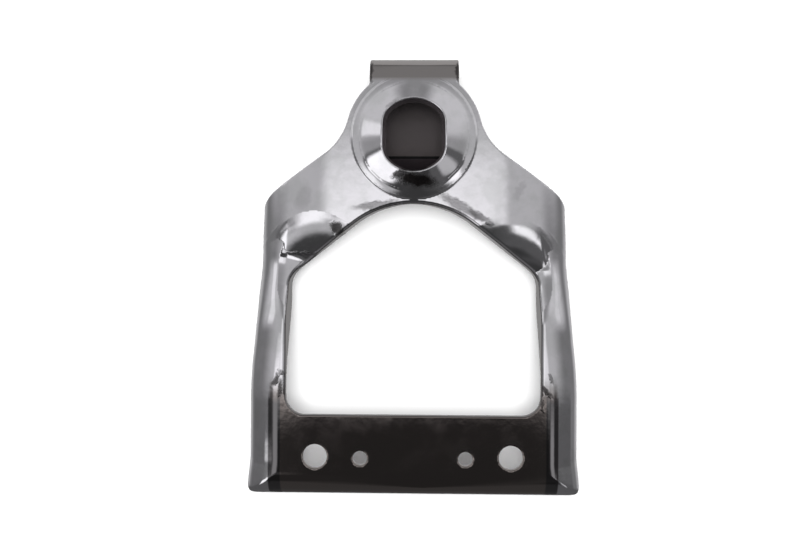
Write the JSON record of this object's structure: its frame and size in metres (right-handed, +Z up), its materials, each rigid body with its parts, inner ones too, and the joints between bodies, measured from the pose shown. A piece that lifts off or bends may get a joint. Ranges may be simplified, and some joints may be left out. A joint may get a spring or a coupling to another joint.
{
  "type": "headlight mounting bracket",
  "caption": "Pressed chrome-plated steel bracket for a motorcycle headlight: holed plate, two arms round a window, raised double-D lamp seat and folded tab.",
  "frame": {"origin": "midway between the two large bolt holes, on the rear face of the plate", "axes": "+X to the right seen from the front, +Y to the rear, +Z up towards the folded tab"},
  "size_m": [0.123, 0.0252, 0.1595],
  "materials": {
    "chrome_plate": "bright chrome plate on pressed steel, slightly wavy, with faint smudges and press marks"
  },
  "bodies": {
    "root": {"bracket": "chrome_plate"}
  },
  "joints": []
}
